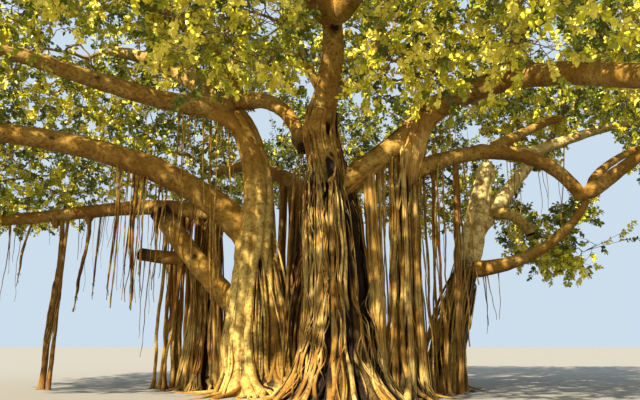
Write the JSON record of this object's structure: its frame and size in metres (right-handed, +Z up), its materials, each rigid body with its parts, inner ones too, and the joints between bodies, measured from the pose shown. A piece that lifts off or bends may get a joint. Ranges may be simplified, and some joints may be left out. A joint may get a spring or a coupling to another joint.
{
  "type": "banyan tree",
  "caption": "Broad old banyan tree: pleated trunks of fused aerial roots, long level boughs, hanging and prop roots, and a wide crown of leaf masses.",
  "frame": {"origin": "on the ground, in the flat cut under the main trunk", "axes": "+Z up; +X to the right and +Y away for a viewer at the front, where the picture was taken"},
  "size_m": [35.3706, 28.7548, 17.3983],
  "materials": {
    "trunk_bark": "rough bark of fused roots, pale tan with dark seams",
    "bough_bark": "smooth pale tan bark with darker mottling",
    "root_bark": "rough brown bark",
    "leaf": "glossy yellow-green to deep green leaves"
  },
  "bodies": {
    "root": {"main_trunk": "trunk_bark", "left_trunk": "trunk_bark", "right_trunk": "trunk_bark", "left_root_column": "trunk_bark", "rear_right_trunk": "trunk_bark", "rear_trunk": "trunk_bark", "central_limb": "bough_bark", "central_left_arm": "bough_bark", "central_right_arm": "bough_bark", "central_right_branch": "bough_bark", "central_left_branch": "bough_bark", "left_upper_bough": "bough_bark", "left_high_bough": "bough_bark", "left_top_bough": "bough_bark", "crown_left_bough": "bough_bark", "left_arch_limb": "bough_bark", "left_lower_bough": "bough_bark", "left_cut_stub": "bough_bark", "left_rear_bough": "bough_bark", "left_level_stub": "bough_bark", "right_shoulder_bough": "bough_bark", "right_upper_bough": "bough_bark", "right_upper_branch": "bough_bark", "right_lower_bough": "bough_bark", "right_elbow_bough": "bough_bark", "right_elbow_fork": "bough_bark", "right_pale_branch": "bough_bark", "right_olive_branch": "bough_bark", "rear_right_branch": "bough_bark", "rear_short_branch": "bough_bark", "rear_low_bough": "bough_bark", "rear_left_bough": "bough_bark", "rear_bough": "bough_bark", "rear_right_bough": "bough_bark", "hanging_roots_left": "root_bark", "hanging_roots_far_left": "root_bark", "prop_roots_far_left": "root_bark", "prop_root_left": "root_bark", "prop_root_right": "root_bark", "foliage_front_left": "leaf", "foliage_front_right": "leaf", "foliage_top_right": "leaf", "foliage_inner_left": "leaf", "foliage_inner_right": "leaf", "foliage_left_front": "leaf", "foliage_left_high": "leaf", "foliage_left_top": "leaf", "foliage_crown_left": "leaf", "foliage_left": "leaf", "foliage_left_rear": "leaf", "foliage_right_front": "leaf", "foliage_inner_front": "leaf", "foliage_right": "leaf", "foliage_right_mid": "leaf", "foliage_right_high": "leaf", "foliage_rear_right": "leaf", "foliage_rear_low": "leaf", "foliage_rear_left": "leaf", "foliage_rear": "leaf", "foliage_rear_right_low": "leaf"}
  },
  "joints": []
}
